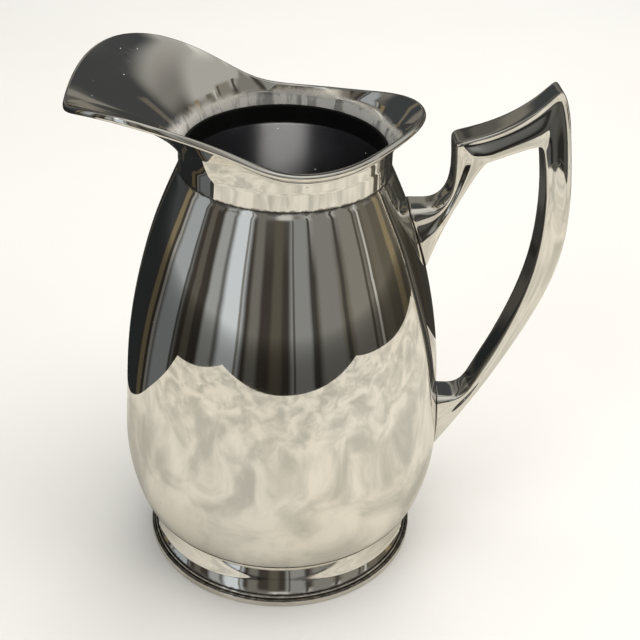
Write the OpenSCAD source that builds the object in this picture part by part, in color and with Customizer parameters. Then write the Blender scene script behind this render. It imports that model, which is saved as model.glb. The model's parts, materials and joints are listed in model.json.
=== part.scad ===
/* [Body] */
// Radius of the body at its fullest, low on the belly
belly_r = 70.5; // [70:0.5:71]
// Thickness of the silver sheet
sheet = 1.4; // [1.2:0.1:1.6]

/* [Neck and mouth] */
// Height of the seam between the body and the neck
seam_z = 188; // [188:0.5:189]
// Outside radius of the neck at that seam
seam_r = 43.1; // [43.1:0.1:43.5]
// Height of the upright band of the neck, below the flare
band_h = 8; // [7.5:0.5:8]
// Radius of the mouth at its sides
side_r = 44.4; // [44.4:0.1:45]
// Height of the rim at the sides of the mouth
side_z = 203.4; // [203:0.2:205]
// How far the spout reaches past the sides of the mouth
spout_reach = 41.7; // [36:0.5:42]
// Height of the two ears of the spout, before its dip is taken off
spout_lift = 44.4; // [44:0.2:45]
// Depth of the dip along the middle of the spout
spout_dip = 31.4; // [30:0.2:32]
// How far the back of the mouth flares out
back_flare = 10.9; // [8:0.5:11]
// How far the back of the mouth rises
back_lift = 7.5; // [6:0.5:8]

/* [Rim moulding] */
// Height of the round wire along the lip
wire_w = 2.8; // [2.6:0.1:3]
// How far that wire stands out of the sheet
wire_out = 1.4; // [1:0.1:1.5]
// Height of the flat strip below the wire
strip_w = 1.8; // [1.5:0.1:2]
// How far that strip stands out of the sheet
strip_out = 0.7; // [0.5:0.1:0.9]

/* [Foot] */
// Outside radius of the foot
foot_r = 62; // [61.5:0.5:63]
// Height of the flat flange that the pitcher stands on
flange_h = 3.2; // [3:0.1:3.4]
// Height at which the concave band of the foot starts
band_low_z = 4.6; // [4.4:0.1:4.8]
// Height at which the concave band of the foot ends
band_high_z = 15; // [14.8:0.1:15.2]
// Height of the bead ring between the foot and the body
bead_h = 2.4; // [2.2:0.1:2.6]

/* [Lining] */
// Inside radius of the black lining vessel
lining_r = 39.2; // [38:0.1:39.4]
// Height of the floor inside the lining vessel
lining_floor_z = 24; // [23:0.5:30]
// Height of the black seal ring above the lining's flange
seal_h = 8; // [7:0.5:8]

/* [Handle] */
// Half the width of the handle along its grip
grip_half = 7.4; // [6.5:0.1:8]
// Extra half width where the handle meets the body
root_flare = 1.6; // [0:0.1:2]
// Size of the softened edges of the handle
edge_soft = 2; // [1:0.1:2.5]

/* [Hidden] */

round_fn = 180;    // segments of a full turn
turns = 90;        // stations round the mouth
span_steps = 6;    // steps between two points of a smooth outline
flare_steps = 6;   // rings of the flare between the band and the lip
gap = 0.1;         // clearance between a round piece and the mouth's flat facets
handle_sheet = 1.2;
patina = "#d9d6cf";
black = "#141416";

bead_top_z = band_high_z + bead_h;
bowl_z = 9;        // underside of the body's bowl
flat_r = 38;       // radius of the flat middle of that bowl
lining_sheet = 1.2;
lining_corner = 8;
pad_r = 32;

// Right side of the body's outer outline, from the bead ring up to the neck seam
body_points = [
    [54, bead_top_z], [61.2, 22], [66, 30], [belly_r, 52], [69.8, 75],
    [68.2, 98], [65.2, 120], [60.1, 142.5], [53, 165], [seam_r, seam_z]
];
// The bowl that closes the body inside the foot, from its middle outwards
bowl_points = [[0, bowl_z], [flat_r, bowl_z], [46, 11], [51.6, band_high_z]];

// The handle's outer and inner edges, station by station, from the upper root to the lower one
handle_stations = [
    [[53, 170.4], [61.2, 149]], [[58.9, 170.4], [62.6, 152.8]], [[62.5, 171.3], [64.3, 157]],
    [[65.5, 173.2], [66.5, 162.5]], [[67.6, 176.5], [69, 168.5]], [[68.4, 180.5], [71.5, 173.6]],
    [[68.5, 185], [74, 178.8]], [[68.1, 192], [77.4, 185.4]], [[67.6, 198.8], [80.5, 190.2]],
    [[73, 200.3], [83, 191.2]], [[81, 202.9], [86.8, 192.5]], [[88.8, 206.2], [92, 194.4]],
    [[96.5, 210.6], [97.5, 196.3]], [[103.9, 216.8], [101, 197]], [[108.8, 222], [103.2, 195.6]],
    [[111.8, 214], [104.6, 192.5]], [[114, 205], [105.6, 187.5]], [[116, 191.5], [106.6, 181]],
    [[117.8, 178.5], [107.5, 173]], [[118.5, 165], [107.9, 163]], [[118.3, 153], [107.7, 152]],
    [[116.5, 141], [106.6, 141]], [[113.8, 131], [104.8, 131.5]], [[110, 120], [101.8, 120]],
    [[105, 108.5], [98, 109]], [[99, 96], [93.5, 97.5]], [[92.5, 83], [88, 86]],
    [[88, 75.2], [85, 78.2]], [[85, 70.2], [82.8, 75]], [[81.5, 64.8], [80, 73.8]],
    [[77.8, 59.2], [76.8, 73.6]], [[73.3, 53], [73.3, 74]]
];

// ---- outlines ----

// A point of the smooth curve through p1 and p2, between its neighbours p0 and p3
function spline_point(p0, p1, p2, p3, t) =
    0.5 * (2 * p1 + (p2 - p0) * t + (2 * p0 - 5 * p1 + 4 * p2 - p3) * t ^ 2
        + (3 * p1 - p0 - 3 * p2 + p3) * t ^ 3);

// A smooth curve through all the points of a list
function smooth(p) = let (last = len(p) - 1) [
    for (i = [0 : last - 1], k = [0 : span_steps - 1])
        spline_point(p[max(i - 1, 0)], p[i], p[i + 1], p[min(i + 2, last)], k / span_steps),
    p[last]
];

function unit(v) = v / norm(v);

// The same outline moved d to its left, seen along its direction
function moved(p, d) = let (last = len(p) - 1) [
    for (i = [0 : last])
        let (dir = unit(p[min(i + 1, last)] - p[max(i - 1, 0)]))
            p[i] + d * [-dir.y, dir.x]
];

function reversed(p) = [for (i = [len(p) - 1 : -1 : 0]) p[i]];

// ---- mouth ----

function hump(angle, width, power) = exp(-(abs(angle) / width) ^ power);

// Angle from the middle of the spout, 0 to 180, at a station round the mouth
function from_spout(a) = 180 - abs(180 - a);

// Radius and height of the lip at an angle from the spout
function lip(s) = [
    side_r + spout_reach * hump(s, 51.5, 3.3) + back_flare * hump(180 - s, 30.7, 2),
    side_z + spout_lift * hump(s, 53.5, 2.5) - spout_dip * hump(s, 31.2, 2)
        + back_lift * hump(180 - s, 46.3, 2)
];

// The bend of the flare: a point that the curve heads for as it leaves the band
function bend(s) = let (end = lip(s), low = seam_z + band_h)
    [seam_r + 0.06 * (end.x - seam_r) + 0.4, low + 0.45 * (end.y - low)];

function lip_dir(s) = unit(lip(s) - bend(s));

// A point on the outside of the lip: u back from its edge, v out of the sheet
function lip_point(s, u, v) = let (d = lip_dir(s)) lip(s) - u * d + v * [d.y, -d.x];

// The outside of the flare, from the top of the band to the start of the moulding
function flare(s) = let (
    low = [seam_r, seam_z + band_h],
    high = lip_point(s, wire_w + strip_w, 0),
    mid = bend(s)
) [for (k = [1 : flare_steps]) let (t = k / flare_steps)
    (1 - t) ^ 2 * low + 2 * t * (1 - t) * mid + t ^ 2 * high];

function neck_outside(s) = [
    [seam_r, seam_z], [seam_r, seam_z + band_h], each flare(s),
    lip_point(s, wire_w, 0), lip_point(s, 0, 0)
];

function neck_section(s) = let (out = neck_outside(s), inside = moved(out, sheet)) [
    each out, each reversed([[inside[0].x, seam_z], for (i = [1 : len(inside) - 1]) inside[i]])
];

// A moulding strip that lies on the sheet from u1 to u0 back from the lip's edge
function strip_section(s, u0, u1, out, steps) = [
    lip_point(s, u1, 0), lip_point(s, u0, 0),
    for (k = [1 : steps - 1]) let (t = 180 * k / steps)
        lip_point(s, (u0 + u1) / 2 - (u1 - u0) / 2 * cos(t), out * sin(t))
];

// A closed ring whose section, given by the list at each station, changes round the mouth
module ring_of(sections, inside_out = false) {
    count = len(sections[0]);
    corners = [
        for (i = [0 : turns - 1], p = sections[i]) let (a = 180 + 360 * i / turns)
            [p.x * cos(a), p.x * sin(a), p.y]
    ];
    quads = [
        for (i = [0 : turns - 1], j = [0 : count - 1]) let (
            m = (i + 1) % turns,
            n = (j + 1) % count,
            a = i * count + j,
            b = m * count + j,
            c = m * count + n,
            d = i * count + n
        ) each [[a, c, b], [a, d, c]]
    ];
    polyhedron(corners, inside_out ? [for (q = quads) reversed(q)] : quads, convexity = 8);
}

function stations() = [for (i = [0 : turns - 1]) from_spout(360 * i / turns)];

module neck_collar() {
    color(patina) ring_of([for (s = stations()) neck_section(s)]);
}

module rim_wire() {
    color(patina)
        ring_of([for (s = stations()) strip_section(s, 0, wire_w, wire_out, 6)], true);
}

module rim_strip() {
    color(patina)
        ring_of([for (s = stations()) strip_section(s, wire_w, wire_w + strip_w, strip_out, 4)], true);
}

// ---- body ----

module turned(outline) {
    rotate_extrude($fn = round_fn) polygon(outline);
}

module body_solid() {
    turned([each bowl_points, each smooth(body_points), [0, seam_z]]);
}

module body_shell() {
    outside = [each bowl_points, each smooth(body_points)];
    inside = moved(outside, sheet);
    top = len(inside) - 1;
    color(patina) turned([
        each outside,
        [inside[top].x, seam_z],
        each reversed([for (i = [1 : top - 1]) inside[i]]),
        [0, bowl_z + sheet]
    ]);
}

// ---- foot ----

module foot_bead_ring() {
    bead_c = [54.3, band_high_z + bead_h / 2];
    color(patina) turned([
        body_points[0], bowl_points[3], [bead_c.x, band_high_z],
        for (a = [-75 : 15 : 75]) bead_c + bead_h / 2 * [cos(a), sin(a)],
        [bead_c.x, bead_top_z]
    ]);
}

module foot_band() {
    cove = smooth([[59.4, band_low_z], [58.05, 6.4], [56.75, 9], [55.5, 12], [54.2, band_high_z]]);
    wall = [1.2 * sheet, 0];
    color(patina) turned([each cove, each reversed([for (p = cove) p - wall])]);
}

module foot_rim() {
    step_r = foot_r - 2;
    inner_r = foot_r - 6.6;
    soft = 0.4;
    color(patina) turned([
        [inner_r, 0], [foot_r, 0], [foot_r, flange_h - soft], [foot_r - soft, flange_h],
        [step_r, flange_h], [step_r, band_low_z - soft], [step_r - soft, band_low_z],
        [inner_r, band_low_z]
    ]);
}

module base_plate() {
    edge_r = foot_r - 6.6;
    color(patina) turned([
        [0, 2.2], [40, 1.8], [edge_r, 1], [edge_r, 1 + sheet], [40, 1.8 + sheet], [0, 2.2 + sheet]
    ]);
}

// ---- lining ----

// A quarter round from straight down to straight out, for the vessel's lower corner
function corner_arc(c, r) = [for (a = [-90 : 10 : 0]) c + r * [cos(a), sin(a)]];

module lining_vessel() {
    outer_r = lining_r + lining_sheet;
    flange_r = seam_r - sheet - 2 * gap;
    centre = [lining_r - lining_corner, lining_floor_z + lining_corner];
    color(black) turned([
        [0, lining_floor_z - lining_sheet],
        each corner_arc(centre, lining_corner + lining_sheet),
        [outer_r, seam_z - lining_sheet], [flange_r, seam_z - lining_sheet],
        [flange_r, seam_z], [lining_r, seam_z],
        each reversed(corner_arc(centre, lining_corner)),
        [0, lining_floor_z]
    ]);
}

module lining_seal() {
    outer_r = seam_r - sheet - gap;
    color(black) turned([
        [lining_r + 1, seam_z], [outer_r, seam_z], [outer_r, seam_z + seal_h - 0.5],
        [outer_r - 0.5, seam_z + seal_h], [lining_r + 1.5, seam_z + seal_h],
        [lining_r + 1, seam_z + seal_h - 0.5]
    ]);
}

module lining_pad() {
    low_z = bowl_z + sheet;
    color("#a98a5e") translate([0, 0, low_z])
        cylinder(r = pad_r, h = lining_floor_z - lining_sheet - low_z, $fn = round_fn);
}

// ---- handle ----

last_station = len(handle_stations) - 1;

// Half the handle's width at a station: wider near both roots
function half_width(i) =
    grip_half + root_flare * max(0, 1 - min(i, last_station - i) / 4) ^ 2;

// One skin of the trough: from its outer edge at x0, over the flat side at h, to x1
function skin(x0, x1, h, e) = [
    [x0, 0], [x0, h - e], [x0 + 0.3 * e, h - 0.3 * e], [x0 + e, h],
    [x1 - e, h], [x1 - 0.3 * e, h - 0.3 * e], [x1, h - e], [x1, 0]
];

// Section of one half: a trough with soft edges, open towards the handle's middle plane
function trough(i) = let (
    out = handle_stations[i][0],
    across = handle_stations[i][1] - out,
    deep = norm(across),
    dir = across / deep,
    h = half_width(i),
    t = handle_sheet,
    shape = [
        each skin(0, deep, h, edge_soft),
        each reversed(skin(t, deep - t, h - t, edge_soft - 0.6 * t))
    ]
) [for (p = shape) [out.x + p.x * dir.x, p.y, out.y + p.x * dir.y]];

module handle_half() {
    count = len(trough(0));
    corners = [for (i = [0 : last_station]) each trough(i)];
    sides = [
        for (i = [0 : last_station - 1], j = [0 : count - 1]) let (
            n = (j + 1) % count,
            a = i * count + j,
            b = a + count,
            c = (i + 1) * count + n,
            d = i * count + n
        ) each [[a, b, c], [a, c, d]]
    ];
    // Each end is closed by a strip of triangles between its two skins
    cap = [
        for (j = [0 : count / 2 - 2])
            each [[j, j + 1, count - 2 - j], [j, count - 2 - j, count - 1 - j]]
    ];
    far_cap = [for (f = cap) [for (k = reversed(f)) last_station * count + k]];
    polyhedron(corners, [each sides, each cap, each far_cap], convexity = 8);
}

module handle_back_half() {
    color(patina) handle_half();
}

module handle_front_half() {
    color(patina) mirror([0, 1, 0]) handle_half();
}

// A flat-sided collar between the handle's end and the curved body
module root_collar(outline, half) {
    difference() {
        translate([0, half, 0]) rotate([90, 0, 0]) linear_extrude(2 * half) polygon(outline);
        body_solid();
    }
}

module upper_root_collar() {
    high = handle_stations[0][0];
    low = handle_stations[0][1];
    along = unit(high - low);
    color(patina) root_collar([high + along, low - along, [52, 144], [44, 168]], 9.4);
}

module lower_root_collar() {
    low = handle_stations[last_station][0];
    high = handle_stations[last_station][1];
    color(patina)
        root_collar([low - [0, 1], high + [0, 1], [64, high.y + 1], [64, low.y - 1]], 9.4);
}

body_shell();
neck_collar();
rim_wire();
rim_strip();
foot_bead_ring();
foot_band();
foot_rim();
base_plate();
lining_vessel();
lining_seal();
lining_pad();
handle_front_half();
handle_back_half();
upper_root_collar();
lower_root_collar();
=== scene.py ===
# %% [markdown]
# # A silver water pitcher
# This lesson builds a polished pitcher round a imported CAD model. The CAD gives every size and place.
# What is left for Blender is what a mirror shows: surfaces with no facets, soft edges, and the small
# signs of use and polishing that tell silver from plain chrome.

# %% Load the frame
import json
import math
import bmesh
import bpy
from mathutils import Matrix, Vector

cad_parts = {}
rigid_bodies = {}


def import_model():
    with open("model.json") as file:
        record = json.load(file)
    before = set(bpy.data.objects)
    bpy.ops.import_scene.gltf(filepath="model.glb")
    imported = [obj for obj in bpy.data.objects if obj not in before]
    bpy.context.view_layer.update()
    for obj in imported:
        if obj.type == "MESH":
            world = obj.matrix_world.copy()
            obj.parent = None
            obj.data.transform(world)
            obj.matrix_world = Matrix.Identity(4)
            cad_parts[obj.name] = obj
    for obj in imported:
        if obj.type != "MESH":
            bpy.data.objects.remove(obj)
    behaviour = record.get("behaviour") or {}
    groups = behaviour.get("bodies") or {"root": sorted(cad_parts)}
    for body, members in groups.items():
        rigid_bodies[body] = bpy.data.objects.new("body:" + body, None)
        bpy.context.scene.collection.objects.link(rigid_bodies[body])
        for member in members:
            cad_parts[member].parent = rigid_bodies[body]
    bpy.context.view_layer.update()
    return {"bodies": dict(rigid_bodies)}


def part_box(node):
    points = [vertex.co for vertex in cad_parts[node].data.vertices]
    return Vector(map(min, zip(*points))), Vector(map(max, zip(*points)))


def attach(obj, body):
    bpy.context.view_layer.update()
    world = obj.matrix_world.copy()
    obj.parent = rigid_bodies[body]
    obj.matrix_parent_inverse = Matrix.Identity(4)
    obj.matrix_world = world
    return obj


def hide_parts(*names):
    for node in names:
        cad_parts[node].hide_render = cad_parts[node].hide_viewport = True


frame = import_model()
MM = 0.001

# %% [markdown]
# ## Lines that bend without kinks
# A mirror shows every kink in a curve as a broken reflection. A natural cubic spline passes through
# each point that we choose, and its curvature has no jumps, so it is the right line for turned silver.

# %% A smooth curve through points
def second_derivatives(t, y):
    """Second derivatives of the natural cubic spline through the values y at t."""
    count = len(t)
    c = [0.0] * count
    d = [0.0] * count
    for i in range(1, count - 1):
        before = t[i] - t[i - 1]
        after = t[i + 1] - t[i]
        turn = 6 * ((y[i + 1] - y[i]) / after - (y[i] - y[i - 1]) / before)
        w = 2 * (before + after) - before * c[i - 1]
        c[i] = after / w
        d[i] = (turn - before * d[i - 1]) / w
    m = [0.0] * count
    for i in range(count - 2, 0, -1):
        m[i] = d[i] - c[i] * m[i + 1]
    return m


def smooth_curve(points, steps):
    """Points of the spline through a list of points, with that many steps between each pair."""
    t = [0.0]
    for a, b in zip(points, points[1:]):
        t.append(t[-1] + math.sqrt(math.dist(a, b)))
    axes = []
    for k in range(len(points[0])):
        y = [p[k] for p in points]
        m = second_derivatives(t, y)
        line = []
        for i in range(len(points) - 1):
            h = t[i + 1] - t[i]
            for s in range(steps):
                b = s / steps
                a = 1 - b
                cubic = ((a ** 3 - a) * m[i] + (b ** 3 - b) * m[i + 1]) * h * h / 6
                line.append(a * y[i] + b * y[i + 1] + cubic)
        line.append(y[-1])
        axes.append(line)
    return list(zip(*axes))


def beside(line, distance):
    """The same (radius, height) line moved to its left, seen along its direction."""
    moved = []
    for i, (r, z) in enumerate(line):
        r0, z0 = line[max(i - 1, 0)]
        r1, z1 = line[min(i + 1, len(line) - 1)]
        size = math.hypot(r1 - r0, z1 - z0)
        moved.append((r - distance * (z1 - z0) / size, z + distance * (r1 - r0) / size))
    return moved


print("a curve through 3 points, 4 steps each:", len(smooth_curve([(0, 0), (1, 2), (3, 3)], 4)), "points")

# %% [markdown]
# ## From mesh to piece
# Each piece becomes one object at the origin, and its place is in its mesh. It rides on the only body
# of the pitcher and stands for its CAD node.

# %% Finish a piece
BODY = list(frame["bodies"])[0]
made = {}
FULL_TURN_STEPS = 256
print("all pieces ride on", BODY)


def finish_piece(name, bm, node_names):
    """Turns a bmesh in metres into a smooth piece of the pitcher."""
    mesh = bpy.data.meshes.new(name)
    bm.to_mesh(mesh)
    bm.free()
    mesh.shade_smooth()
    piece = bpy.data.objects.new(name, mesh)
    bpy.context.scene.collection.objects.link(piece)
    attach(piece, BODY)
    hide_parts(*node_names)
    made[name] = piece
    print(f"{name}: {len(mesh.polygons)} faces")
    return piece


def keep_edges_sharp(piece, degrees):
    """Edges that turn more than this stay crisp under smooth shading."""
    piece.data.set_sharp_from_angle(angle=math.radians(degrees))


def turn(outline, steps, closed=True):
    """Spins a (radius, height) outline in millimetres about the upright axis."""
    bm = bmesh.new()
    verts = [bm.verts.new((r * MM, 0, z * MM)) for r, z in outline]
    edges = [bm.edges.new(pair) for pair in zip(verts, verts[1:])]
    if closed:
        edges.append(bm.edges.new((verts[-1], verts[0])))
    bmesh.ops.spin(
        bm, geom=verts + edges, cent=(0, 0, 0), axis=(0, 0, 1), angle=math.tau,
        steps=steps, use_merge=True, use_duplicate=False,
    )
    bmesh.ops.remove_doubles(bm, verts=bm.verts, dist=0.002 * MM)
    bmesh.ops.dissolve_degenerate(bm, edges=bm.edges, dist=0.001 * MM)
    bmesh.ops.recalc_face_normals(bm, faces=bm.faces)
    return bm


def arc(centre, radius, start, end, steps):
    """Points of an arc in the (radius, height) plane, between two angles in degrees."""
    line = []
    for i in range(steps + 1):
        a = math.radians(start + (end - start) * i / steps)
        line.append((centre[0] + radius * math.cos(a), centre[1] + radius * math.sin(a)))
    return line

# %% [markdown]
# ## The body
# The body is one sheet of silver, spun over a wooden form. We draw its outline once and spin it, as
# the spinner does. The heights of its two ends come from the CAD boxes of the pieces that it meets.

# %% Spin the body
SHEET = 1.4
seam_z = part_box("neck_collar")[0].z / MM
bead_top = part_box("foot_bead_ring")[1].z / MM
belly_r = -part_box("body_shell")[0].y / MM
seam_r = 43.1
body_line = smooth_curve([
    (54.0, bead_top), (61.2, 22.0), (66.0, 30.0), (belly_r - 0.24, 52.0), (69.8, 75.0),
    (68.2, 98.0), (65.2, 120.0), (60.1, 142.5), (53.0, 165.0), (seam_r, seam_z),
], 14)
BOWL_Z = 9.0
bowl_line = [(0.0, BOWL_Z), (20.0, BOWL_Z), (38.0, BOWL_Z), (46.0, 11.0), (51.6, 15.0)]


def body_radius(z):
    """Radius of the body's outside at a height, both in millimetres."""
    for (r0, z0), (r1, z1) in zip(body_line, body_line[1:]):
        if z0 <= z <= z1:
            return r0 + (r1 - r0) * (z - z0) / (z1 - z0)
    return seam_r


ROLL_R = 0.7
edge_roll = arc((seam_r - ROLL_R - 0.05, seam_z - ROLL_R), ROLL_R, 10, 90, 6)
under_roll = seam_z - 0.6
outside = bowl_line + [p for p in body_line if p[1] < under_roll] + edge_roll
inside = [p for p in beside(bowl_line + body_line, SHEET) if p[1] < under_roll]
inside[0] = (0.0, BOWL_Z + SHEET)
shell = outside + [(seam_r - SHEET, seam_z)] + inside[::-1]
body = finish_piece("body_shell", turn(shell, FULL_TURN_STEPS, closed=False), ["body_shell"])
keep_edges_sharp(body, 50)

# %% [markdown]
# ## The neck and its spout
# The neck starts as a plain tube. The smith then stretches one side of it outwards into a scoop, with
# an ear on each side and a dip along the middle. We do the same: a ring is spun with its height as the
# place along the sheet and its radius as the depth in it, and each point is laid on the stretched form.

# %% The line of the lip
BAND_H = 8.0
WIRE_W = 2.8
STRIP_W = 1.8
SIDE_R = 44.4
SIDE_Z = 203.4
# How far along the sheet the upright band ends, and where the flare meets the lip's moulding
BAND_END = 0.2
FLARE_END = 0.85
spout_r = -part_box("neck_collar")[0].x / MM


def hump(angle, width, power):
    """A smooth rise at angle 0 that has faded a little past that width, in degrees."""
    return math.exp(-(abs(angle) / width) ** power)


def lip(s):
    """Radius and height of the lip at an angle from the middle of the spout."""
    r = SIDE_R + (spout_r - SIDE_R) * hump(s, 51.5, 3.3) + 10.9 * hump(180 - s, 30.7, 2)
    z = SIDE_Z + 44.4 * hump(s, 53.5, 2.5) - 31.4 * hump(s, 31.2, 2)
    return Vector((r, z + 7.5 * hump(180 - s, 46.3, 2)))


def bend(s):
    """The point that the flare heads for as it leaves the upright band."""
    low = seam_z + BAND_H
    end = lip(s)
    return Vector((seam_r + 0.06 * (end.x - seam_r) + 0.4, low + 0.45 * (end.y - low)))


def lip_point(s, u, v):
    """A point u back from the lip's edge and v out of the sheet."""
    along = (lip(s) - bend(s)).normalized()
    return lip(s) - u * along + v * Vector((along.y, -along.x))


def neck_point(s, w, depth):
    """A point of the neck: w runs from 0 at the seam to 1 at the lip, depth goes into the sheet."""
    def outside_at(w):
        low = Vector((seam_r, seam_z + BAND_H))
        if w < BAND_END:
            return Vector((seam_r, seam_z)).lerp(low, w / BAND_END)
        high = lip_point(s, WIRE_W + STRIP_W, 0)
        if w < FLARE_END:
            t = (w - BAND_END) / (FLARE_END - BAND_END)
            return (1 - t) ** 2 * low + 2 * t * (1 - t) * bend(s) + t * t * high
        return high.lerp(lip_point(s, 0.9, 0), (w - FLARE_END) / (1 - FLARE_END))

    step = 0.004
    along = (outside_at(min(w + step, 1)) - outside_at(max(w - step, 0))).normalized()
    return outside_at(w) + depth * Vector((-along.y, along.x))


PLAIN_R = 50.0
MOUTH_STEPS = 288


def lay_on_mouth(bm, place):
    """Moves every vertex of a plain spun ring: its angle stays, place gives its radius and height."""
    for v in bm.verts:
        angle = math.atan2(v.co.y, -v.co.x)
        s = abs(math.degrees(angle))
        r, z = place(s, v.co.z / MM, math.hypot(v.co.x, v.co.y) / MM - PLAIN_R)
        v.co = Vector((-math.cos(angle) * r, math.sin(angle) * r, z)) * MM
    bmesh.ops.recalc_face_normals(bm, faces=bm.faces)


# %% Raise the neck
NECK_ROWS = 40
rows_up = [i / NECK_ROWS for i in range(NECK_ROWS + 1)]
tube = [(PLAIN_R, w) for w in rows_up] + [(PLAIN_R + SHEET, w) for w in reversed(rows_up)]
neck_bm = turn(tube, MOUTH_STEPS)
lay_on_mouth(neck_bm, neck_point)
neck = finish_piece("neck_collar", neck_bm, ["neck_collar"])
keep_edges_sharp(neck, 50)
print("spout reaches", round(spout_r, 1), "mm from the axis")

# %% [markdown]
# ## The moulding of the lip
# A half-round wire is soldered over the sheet's edge, and a thin strip runs below it. Between the two
# is a groove that stays dark, because no cloth reaches into it. Both are spun as small rings first and
# then laid along the lip, so they follow its rise and fall exactly.

# %% Wire and strip
wire_line = smooth_curve([
    (-SHEET, 0.95), (-SHEET + 0.1, 0.52), (-0.85, 0.14), (-0.1, 0.07), (0.7, 0.26),
    (1.22, 0.8), (1.31, 1.5), (1.13, 2.15), (0.7, 2.6), (0.0, 2.75),
], 4)
wire_bm = turn([(PLAIN_R + v, u) for v, u in wire_line] + [(PLAIN_R, 0.9)], MOUTH_STEPS)
lay_on_mouth(wire_bm, lip_point)
wire = finish_piece("rim_wire", wire_bm, ["rim_wire"])
keep_edges_sharp(wire, 60)

strip_line = smooth_curve([
    (0.0, 3.05), (0.4, 3.1), (0.62, 3.35), (0.68, 3.8), (0.62, 4.2), (0.35, 4.5), (0.0, 4.6),
], 4)
strip_bm = turn([(PLAIN_R + v, u) for v, u in strip_line], MOUTH_STEPS)
lay_on_mouth(strip_bm, lip_point)
strip = finish_piece("rim_strip", strip_bm, ["rim_strip"])
keep_edges_sharp(strip, 60)

# %% [markdown]
# ## The foot
# The foot is turned in three parts: a flange with a step, a hollow band and a small bead. A lathe
# leaves soft corners, so each corner of these outlines is an arc and not a point.

# %% Flange, band and bead
foot_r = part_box("foot_rim")[1].x / MM
band_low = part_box("foot_band")[0].z / MM
band_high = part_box("foot_band")[1].z / MM
rim_inner = foot_r - 6.6
flange = (
    [(rim_inner, 0.0)]
    + arc((foot_r - 0.5, 0.5), 0.5, -90, 0, 5)
    + arc((foot_r - 0.9, 2.3), 0.9, 0, 90, 8)
    + [(foot_r - 1.35, 3.05), (foot_r - 1.55, 3.0), (foot_r - 1.7, 3.1)]
    + arc((foot_r - 2.5, 3.8), 0.8, 0, 90, 8)
    + [(rim_inner, band_low)]
)
foot_rim = finish_piece("foot_rim", turn(flange, FULL_TURN_STEPS), ["foot_rim"])
keep_edges_sharp(foot_rim, 50)

COVE_WALL = 1.6
cove = smooth_curve(
    [(59.4, band_low), (58.05, 6.4), (56.75, 9.0), (55.5, 12.0), (54.2, band_high)], 8)
cove_wall = [(r - COVE_WALL, z) for r, z in reversed(cove)]
foot_band = finish_piece("foot_band", turn(cove + cove_wall, FULL_TURN_STEPS), ["foot_band"])
keep_edges_sharp(foot_band, 50)

bead_mid = (band_high + bead_top) / 2
bead_half = (bead_top - band_high) / 2
bead = [(54.0, bead_top), (51.6, band_high)] + arc((54.3, bead_mid), bead_half, -90, 90, 14)
foot_bead = finish_piece("foot_bead_ring", turn(bead, FULL_TURN_STEPS), ["foot_bead_ring"])
keep_edges_sharp(foot_bead, 50)

# %% [markdown]
# ## The underside
# A thin disc closes the hollow foot. It is slightly domed so that the pitcher stands on its rim alone,
# and it carries the faint rings that the lathe left.

# %% Base plate
plate_top = smooth_curve([(0.0, 3.6), (20.0, 3.5), (40.0, 3.2), (rim_inner, 2.4)], 6)
plate_low = smooth_curve([(rim_inner, 1.0), (40.0, 1.8), (20.0, 2.1), (0.0, 2.2)], 27)
RING_DEPTH = 0.05
ringed = [(r, z + RING_DEPTH * math.sin(r * 1.6)) for r, z in plate_low]
plate = finish_piece("base_plate", turn(plate_top + ringed, 160, closed=False), ["base_plate"])
keep_edges_sharp(plate, 50)

# %% [markdown]
# ## The black lining
# Inside hangs a straight-walled vessel with a black coat. Its rolled edge sits at the seam, below a
# black ring that fills the gap to the silver neck. A round of cork carries it on the body's floor.

# %% Vessel, seal and cork
lining_r = 39.2
lining_wall = 1.2
lining_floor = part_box("lining_vessel")[0].z / MM + lining_wall
corner = 8.0
mid = (lining_r - corner, lining_floor + corner)
flange_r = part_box("lining_vessel")[1].x / MM
vessel_outline = (
    [(0.0, lining_floor - lining_wall)]
    + arc(mid, corner + lining_wall, -90, 0, 10)
    + [(lining_r + lining_wall, seam_z - 60.0), (lining_r + lining_wall, seam_z - lining_wall)]
    + [(flange_r, seam_z - lining_wall), (flange_r, seam_z)]
    + arc((lining_r + 0.5, seam_z - 0.5), 0.5, 90, 180, 5)
    + [(lining_r, seam_z - 40.0), (lining_r, seam_z - 100.0)]
    + arc(mid, corner, 0, -90, 10)
    + [(0.0, lining_floor)]
)
vessel = finish_piece("lining_vessel", turn(vessel_outline, 192, closed=False),
                      ["lining_vessel"])
keep_edges_sharp(vessel, 40)

seal_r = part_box("lining_seal")[1].x / MM
seal_inner = lining_r + 1.0
seal_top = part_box("lining_seal")[1].z / MM
seal_outline = (
    [(seal_inner, seam_z), (seal_r, seam_z)]
    + arc((seal_r - 0.5, seal_top - 0.5), 0.5, 0, 90, 5)
    + arc((seal_inner + 0.6, seal_top - 0.6), 0.6, 90, 180, 5)
    + [(seal_inner, seal_top - 2.0), (seal_inner, seam_z + 2.0)]
)
seal = finish_piece("lining_seal", turn(seal_outline, 192), ["lining_seal"])
keep_edges_sharp(seal, 50)

pad_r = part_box("lining_pad")[1].x / MM
pad_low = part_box("lining_pad")[0].z / MM
pad_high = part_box("lining_pad")[1].z / MM
pad_outline = (
    [(0.0, pad_low)]
    + arc((pad_r - 1.0, pad_low + 1.0), 1.0, -90, 0, 4)
    + arc((pad_r - 1.0, pad_high - 1.0), 1.0, 0, 90, 4)
    + [(0.0, pad_high)]
)
pad = finish_piece("lining_pad", turn(pad_outline, 96, closed=False), ["lining_pad"])
keep_edges_sharp(pad, 50)

# %% [markdown]
# ## The handle
# The handle is hollow: two stamped halves, soldered along the middle. Its section is a square with
# soft edges that turns rounder near each root. The form is given station by station along its run, and
# the points of one section are laid out here.

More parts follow.
